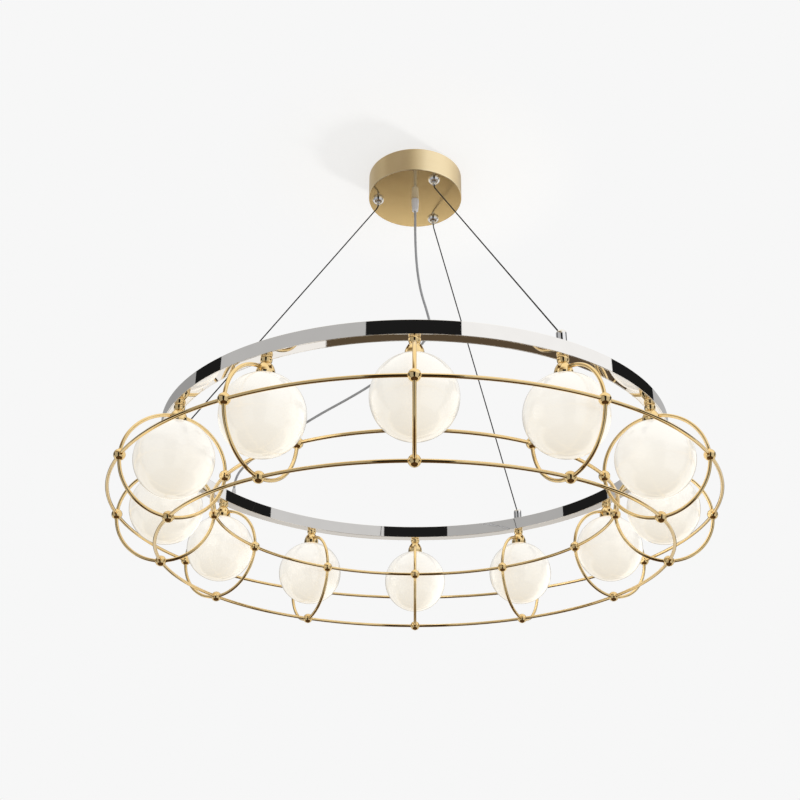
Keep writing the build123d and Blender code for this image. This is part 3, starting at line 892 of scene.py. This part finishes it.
# ---- Cage ----
def cage_rods():
    ball_inset = asin(ball_web / hoop_r)
    cup_inset = asin(cup_web / hoop_r)
    quarters = (
        ("upper_outer_hoops", "upper_outer_hoop_rods", ball_inset, pi / 2 - cup_inset),
        ("upper_inner_hoops", "upper_inner_hoop_rods", pi / 2 + cup_inset, pi - ball_inset),
        ("lower_inner_hoops", "lower_inner_hoop_rods", pi + ball_inset, 1.5 * pi - ball_inset),
        ("lower_outer_hoops", "lower_outer_hoop_rods", 1.5 * pi + ball_inset, 2 * pi - ball_inset),
    )
    for name, node, start, end in quarters:
        brass_piece(name, node, bent_rods, bend_radius=hoop_r, start_angle=start,
                    sweep_angle=end - start, tilt=pi / 2, middle=(ring_r, 0, hoop_z))
    rings = (
        ("outer_ring", "outer_ring_rods", outer_ring_r, hoop_z),
        ("bottom_ring", "bottom_ring_rods", ring_r, bottom_ring_z),
        ("inner_ring", "inner_ring_rods", inner_ring_r, hoop_z),
    )
    for name, node, radius, height in rings:
        inset = asin(ball_web / radius)
        brass_piece(name, node, bent_rods, bend_radius=radius, start_angle=inset,
                    sweep_angle=lamp_step - 2 * inset, middle=(0, 0, height))


solder_width = 0.9 * MM
solder_rise = 0.8 * MM
solder_steps = 5
solder_root = 0.3 * MM      # how far the solder reaches into the rod
solder_depth = 0.5 * MM     # how far it reaches into the ball


def solder_fillet(middle, direction):
    """The small concave fillet of solder where a rod meets a ball."""
    foot_r = rod_r + solder_width
    foot = sqrt(ball_r ** 2 - foot_r ** 2)
    tip = sqrt(ball_r ** 2 - rod_r ** 2) + solder_rise
    inner_r = rod_r - solder_root
    outline = [(inner_r, foot - solder_depth)]
    for k in range(solder_steps + 1):
        t = k / solder_steps
        radius = foot_r + (rod_r - foot_r) * (1 - (1 - t) ** 2)
        outline.append((radius, foot + (tip - foot) * t ** 2))
    outline.append((inner_r, tip))
    fillet = turned(outline, 24)
    turn = direction.to_track_quat("Z", "Y").to_matrix().to_4x4()
    bmesh.ops.transform(fillet, matrix=Matrix.Translation(middle) @ turn, verts=fillet.verts)
    return fillet


def ball_mesh(radius, height, hoop_turn):
    """A joint ball with its four solder fillets, two on the hoop and two on the ring rod."""
    middle = Vector((radius, 0, height))
    ball = turned(arc_points((0, 0), ball_r, -90, 90, 28), 48)
    bmesh.ops.remove_doubles(ball, verts=ball.verts, dist=axis_tolerance)
    bmesh.ops.transform(ball, matrix=Matrix.Translation(middle), verts=ball.verts)
    along_hoop = Vector((-sin(hoop_turn), 0, cos(hoop_turn)))
    along_ring = Vector((0, 1, 0))
    fillets = [solder_fillet(middle, direction)
               for direction in (along_hoop, -along_hoop, along_ring, -along_ring)]
    return merged("ball", ball, *fillets)


def joint_balls():
    places = (
        ("outer_balls", "outer_joint_balls", outer_ring_r, hoop_z, 0.0),
        ("bottom_balls", "bottom_joint_balls", ring_r, bottom_ring_z, 1.5 * pi),
        ("inner_balls", "inner_joint_balls", inner_ring_r, hoop_z, pi),
    )
    for name, node, radius, height, hoop_turn in places:
        brass_piece(name, node, turned_copies, ball_mesh(radius, height, hoop_turn))


# ---- Canopy, grippers and anchors ----
def canopy():
    inner_r = canopy_r - canopy_wall
    floor = canopy_face + canopy_wall
    support = edge_support * canopy_edge_r
    rim = [(canopy_r, canopy_rim - rim_depth), (canopy_r, canopy_rim), (inner_r, canopy_rim),
           (inner_r, canopy_rim - rim_depth)]
    outline = [(0, canopy_face), (canopy_r * 0.5, canopy_face), (canopy_r - support, canopy_face)]
    outline += arc_points((canopy_r - canopy_edge_r, canopy_face + canopy_edge_r), canopy_edge_r,
                          -90, 0, 8)
    outline += [(canopy_r, canopy_face + support)]
    outline += eased(rim, rim_edge_r, 3, closed=False)
    outline += [(inner_r, floor), (0, floor)]
    turned_piece("brushed_canopy", "canopy_shell", "satin_brass", outline, canopy_steps)


def gripper_outline():
    """The chrome dome under the canopy with its stem above and the nose's hole below."""
    low = canopy_face - dome_height
    lip_r = plunger_r + dome_lip
    skirt = canopy_face - dome_skirt
    fall = dome_height - dome_skirt
    slant = hypot(dome_r - lip_r, fall)
    bulge = ((dome_r + lip_r) / 2 + dome_bulge * fall / slant,
             skirt - fall / 2 - dome_bulge * (dome_r - lip_r) / slant)
    stem_top = canopy_face + stem_height
    bore = plunger_r + plunger_gap
    bore_top = canopy_face - plunger_hole_depth
    outline = [(0, stem_top), (stem_r, stem_top), (stem_r, canopy_face), (dome_r, canopy_face)]
    outline += through((dome_r, skirt), bulge, (lip_r, low), 16)
    return outline + [(bore, low), (bore, bore_top), (0, bore_top)]


def nose_outline():
    """The release plunger: a tube with a collar at its top, inside the gripper."""
    nose_low, nose_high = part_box("gripper_plunger_1")
    tip, top = nose_low.z, nose_high.z
    collar = top - plunger_collar_t
    return [(cable_bore_r, tip), (plunger_tip_r, tip), (plunger_r, tip + plunger_tip_height),
            (plunger_r, collar), (plunger_collar_r, collar), (plunger_collar_r, top),
            (cable_bore_r, top)]


def grippers():
    dome = eased(gripper_outline(), gripper_edge_r, 3)
    nose = eased(nose_outline(), gripper_edge_r, 4)
    for number, _, middle in turned_places(gripper_circle_r):
        turned_piece(f"gripper_dome_{number}", f"gripper_body_{number}", "chrome_fittings",
                     dome, 72, middle)
        turned_piece(f"gripper_nose_{number}", f"gripper_plunger_{number}", "chrome_fittings",
                     nose, 48, middle, body=f"gripper_plunger_{number}")


def anchors():
    top = ring_top + anchor_height
    stud = ring_top - stud_length
    outline = [(0, stud), (stud_r, stud), (stud_r, ring_top), (anchor_r, ring_top)]
    outline += arc_points((anchor_r - anchor_shoulder_r, top - anchor_shoulder_r),
                          anchor_shoulder_r, 0, 90, 12)
    outline += [(0, top)]
    for number, _, middle in turned_places(ring_r):
        turned_piece(f"anchor_barrel_{number}", f"cable_anchor_{number}", "chrome_fittings",
                     eased(outline, anchor_edge_r, 3), 64, middle)


# ---- Stage: floor, ceiling, light ----
def grey(tone):
    return (tone, tone, tone, 1)


page_white = grey(0.930)
floor_z = -2.2
ceiling_z = 0.0006
stage_half = 9.0


def stage_finish(name, middle, clear_r, fade_r, glow, paint_tone, see_through):
    """Pale surface, part paint and part glow, that shows shadows near the object only."""
    made = bpy.data.materials.new(name)
    made.use_nodes = True
    nodes = made.node_tree.nodes
    nodes.clear()
    tree = Tree(nodes, made.node_tree.links)
    away = tree.add("ShaderNodeVectorMath", {"operation": "DISTANCE"})
    tree.feed(away, 0, tree.place())
    tree.feed(away, 1, middle)
    fade = tree.spread(away.outputs["Value"], clear_r, fade_r,
                       settings={"interpolation_type": "SMOOTHSTEP"})
    near = tree.add("ShaderNodeAddShader")
    tree.feed(near, 0, tree.add("ShaderNodeBsdfDiffuse", Color=grey(paint_tone)))
    tree.feed(near, 1, tree.add("ShaderNodeEmission", Color=grey(glow), Strength=1.0))
    flat = tree.add("ShaderNodeEmission", Color=page_white, Strength=1.0)
    surface = tree.mixed_shaders(fade, near, flat)
    if see_through:
        behind = tree.add("ShaderNodeNewGeometry")
        clear = tree.add("ShaderNodeBsdfTransparent")
        surface = tree.mixed_shaders(behind.outputs["Backfacing"], surface, clear)
    sink = nodes.new("ShaderNodeOutputMaterial")
    tree.feed(sink, "Surface", surface)
    return made


def stage_plane(name, height, facing_down, finish):
    """A wide level plane that only the camera's own rays see."""
    shape = bmesh.new()
    corners = [(-stage_half, -stage_half), (stage_half, -stage_half), (stage_half, stage_half),
               (-stage_half, stage_half)]
    if facing_down:
        corners.reverse()
    shape.faces.new([shape.verts.new((x, y, height)) for x, y in corners])
    mesh = to_mesh(shape, name)
    mesh.materials.append(finish)
    plane = bpy.data.objects.new(name, mesh)
    bpy.context.scene.collection.objects.link(plane)
    plane.visible_glossy = False
    plane.visible_diffuse = False
    return plane


def make_stage():
    floor = stage_finish("pale_floor", middle=(0, 0, floor_z), clear_r=0.9, fade_r=2.2,
                         glow=0.6, paint_tone=0.6, see_through=False)
    stage_plane("floor", floor_z, False, floor)
    above = stage_finish("pale_ceiling", middle=(0, 0, 0), clear_r=0.16, fade_r=0.36,
                         glow=0.66, paint_tone=0.45, see_through=True)
    ceiling = stage_plane("ceiling", ceiling_z, True, above)
    ceiling.visible_shadow = False


def area_light(name, place, target, size, watts):
    lamp = bpy.data.lights.new(name, "AREA")
    lamp.shape = "DISK"
    lamp.size = size
    lamp.energy = watts
    light = bpy.data.objects.new(name, lamp)
    light.location = place
    light.rotation_euler = (Vector(target) - Vector(place)).to_track_quat("-Z", "Y").to_euler()
    light.visible_glossy = False
    bpy.context.scene.collection.objects.link(light)


def make_lights():
    area_light("key", place=(1.9, 1.6, -1.05), target=(0, 0, -0.2), size=0.4, watts=34)
    area_light("fill", place=(1.6, -2.4, -0.5), target=(0, 0, -0.6), size=1.6, watts=8)


# ---- The studio that polished metal mirrors ----
# Dark stands between pale sheets, as (turn about the vertical in degrees, tone from there on):
# the lower sheets, the upper ones, and above them the open room in soft tones.
level_bands = [
    (-180, 0.012), (-172.5, 0.43), (-107, 0.012), (-73.7, 0.62), (-10, 0.012), (21.3, 0.85),
    (53, 0.05), (127, 0.42), (156, 0.012),
]
upper_bands = [
    (-180, 0.48), (-111, 0.012), (-70, 0.93), (5.7, 0.012), (41, 0.47), (77, 0.05),
    (99.8, 0.33), (158, 0.012), (176.5, 0.48),
]
room_tones = [
    (-180, (0.45, 0.40, 0.32)), (-160, (0.25, 0.19, 0.115)), (-118, (0.22, 0.16, 0.10)),
    (-100, (0.44, 0.38, 0.29)), (-84, (0.78, 0.72, 0.62)), (-62, (0.98, 0.97, 0.95)),
    (-22, (1.05, 1.04, 1.02)), (0, (0.98, 0.95, 0.90)), (30, (0.90, 0.84, 0.74)),
    (60, (0.55, 0.50, 0.42)), (90, (0.55, 0.52, 0.47)), (180, (0.45, 0.40, 0.32)),
]
stand_split = 22.9          # degrees above level where the lower sheets end
stand_top = 33.0            # degrees above level where the upper sheets end

# Below level, from straight down (0) to level (0.5): a dark floor and a warm pale strip on it.
ground_tones = [
    (0.0, (0.10, 0.06, 0.03)), (0.2, (0.07, 0.04, 0.02)), (0.278, (0.07, 0.045, 0.022)),
    (0.286, (0.07, 0.045, 0.022)), (0.294, (0.26, 0.18, 0.10)), (0.301, (0.76, 0.66, 0.46)),
    (0.308, (1.15, 1.0, 0.72)), (0.323, (1.15, 1.0, 0.72)), (0.327, (0.10, 0.07, 0.04)),
    (0.37, (0.08, 0.055, 0.035)), (0.385, (0.55, 0.52, 0.48)), (0.40, (0.75, 0.73, 0.70)),
    (1.0, (0.75, 0.73, 0.70)),
]
low_sheet_rise = (-31.5, -22.5)     # degrees above level
low_sheet_gap = (68, 95.5)          # degrees of turn that it leaves open
low_sheet_tone = (0.92, 0.90, 0.87, 1)
front_drop = 0.24                   # how much lower the stands reach at the front
horizon_fade = [(0.0, 0.0), (0.485, 0.0), (0.505, 1.0), (1.0, 1.0)]
zenith_fade = [(0.0, 0.0), (0.74, 0.0), (0.82, 1.0), (1.0, 1.0)]
zenith_tone = (1.05, 1.0, 0.88, 1)
wash_tones = [(0.0, (0.42, 0.40, 0.36)), (0.5, (0.45, 0.45, 0.44)), (1.0, (0.52, 0.53, 0.54))]


def stepped(tree, value, steps):
    """A tone that changes sharply at each step, from (turn in degrees, tone) pairs."""
    total = steps[0][1]
    for (_, before), (at, tone) in zip(steps, steps[1:]):
        past = tree.math("GREATER_THAN", value, radians(at))
        total = tree.math("MULTIPLY_ADD", past, tone - before, total)
    return total


def between(tree, value, low, high):
    """One where the value lies between two angles in degrees, otherwise nought."""
    return tree.math("MULTIPLY", tree.math("GREATER_THAN", value, radians(low)),
                     tree.math("LESS_THAN", value, radians(high)))


def ramp(tree, value, stops):
    """A soft change of tone along (position, tone) stops, grey or coloured."""
    node = tree.add("ShaderNodeValToRGB", Fac=value)
    elements = node.color_ramp.elements
    while len(elements) < len(stops):
        elements.new(0.5)
    for element, (at, tone) in zip(elements, stops):
        element.position = at
        element.color = grey(tone) if isinstance(tone, float) else (*tone, 1)
    return node.outputs[0]


def mirrored_above(tree, turn, rise):
    """The stands and sheets, and the open room above them."""
    level = stepped(tree, turn, level_bands)
    upper = stepped(tree, turn, upper_bands)
    sheets = tree.blend(tree.math("GREATER_THAN", rise, radians(stand_split)), level, upper)
    around = tree.math("MULTIPLY_ADD", turn, 1 / (2 * pi), 0.5)
    room = ramp(tree, around, [((at + 180) / 360, tone) for at, tone in room_tones])
    return tree.blend(tree.math("GREATER_THAN", rise, radians(stand_top)), sheets, room)


def mirrored_below(tree, turn, rise, height):
    """The floor, and a low pale sheet that stands on it."""
    closed = tree.math("SUBTRACT", 1.0, between(tree, turn, *low_sheet_gap))
    sheet = tree.math("MULTIPLY", between(tree, rise, *low_sheet_rise), closed)
    return tree.blend(sheet, ramp(tree, height, ground_tones), low_sheet_tone)


def mirrored_studio(tree, split, height):
    """All that polished metal mirrors, by direction."""
    turn = tree.math("ARCTAN2", split.outputs[1], split.outputs[0])
    rise = tree.math("ARCSINE", split.outputs[2])
    front = tree.spread(split.outputs[1], low=0.1, high=-0.1)
    lowered = tree.math("MULTIPLY_ADD", front, front_drop, height)
    sides = tree.blend(ramp(tree, lowered, horizon_fade), mirrored_below(tree, turn, rise, height),
                       mirrored_above(tree, turn, rise))
    return tree.blend(ramp(tree, height, zenith_fade), sides, zenith_tone)


def make_world():
    """A mirrored studio for glossy rays, a plain page for the camera, a soft wash for others."""
    world = bpy.data.worlds.new("studio")
    bpy.context.scene.world = world
    world.use_nodes = True
    nodes = world.node_tree.nodes
    nodes.clear()
    tree = Tree(nodes, world.node_tree.links)
    place = tree.add("ShaderNodeTexCoord")
    split = tree.add("ShaderNodeSeparateXYZ", Vector=place.outputs["Generated"])
    height = tree.math("MULTIPLY_ADD", tree.math("ARCSINE", split.outputs[2]), 1 / pi, 0.5)
    studio = mirrored_studio(tree, split, height)
    gloss = tree.add("ShaderNodeBackground", Color=studio, Strength=1.0)
    wash = tree.add("ShaderNodeBackground", Color=ramp(tree, height, wash_tones), Strength=1.0)
    page = tree.add("ShaderNodeBackground", Color=page_white, Strength=1.0)
    path = tree.add("ShaderNodeLightPath")
    unseen = tree.mixed_shaders(path.outputs["Is Glossy Ray"], wash, gloss)
    seen = tree.math("MAXIMUM", path.outputs["Is Camera Ray"], path.outputs["Is Transmission Ray"])
    sink = nodes.new("ShaderNodeOutputWorld")
    tree.feed(sink, "Surface", tree.mixed_shaders(seen, unseen, page))


bpy.context.scene.view_settings.view_transform = "Standard"
dress_cad_nodes()
make_camera()
power_cord()
suspension_cables()
ring()
lamp_collars()
lamp_bells()
globes()
cage_rods()
joint_balls()
canopy()
grippers()
anchors()
make_stage()
make_lights()
make_world()
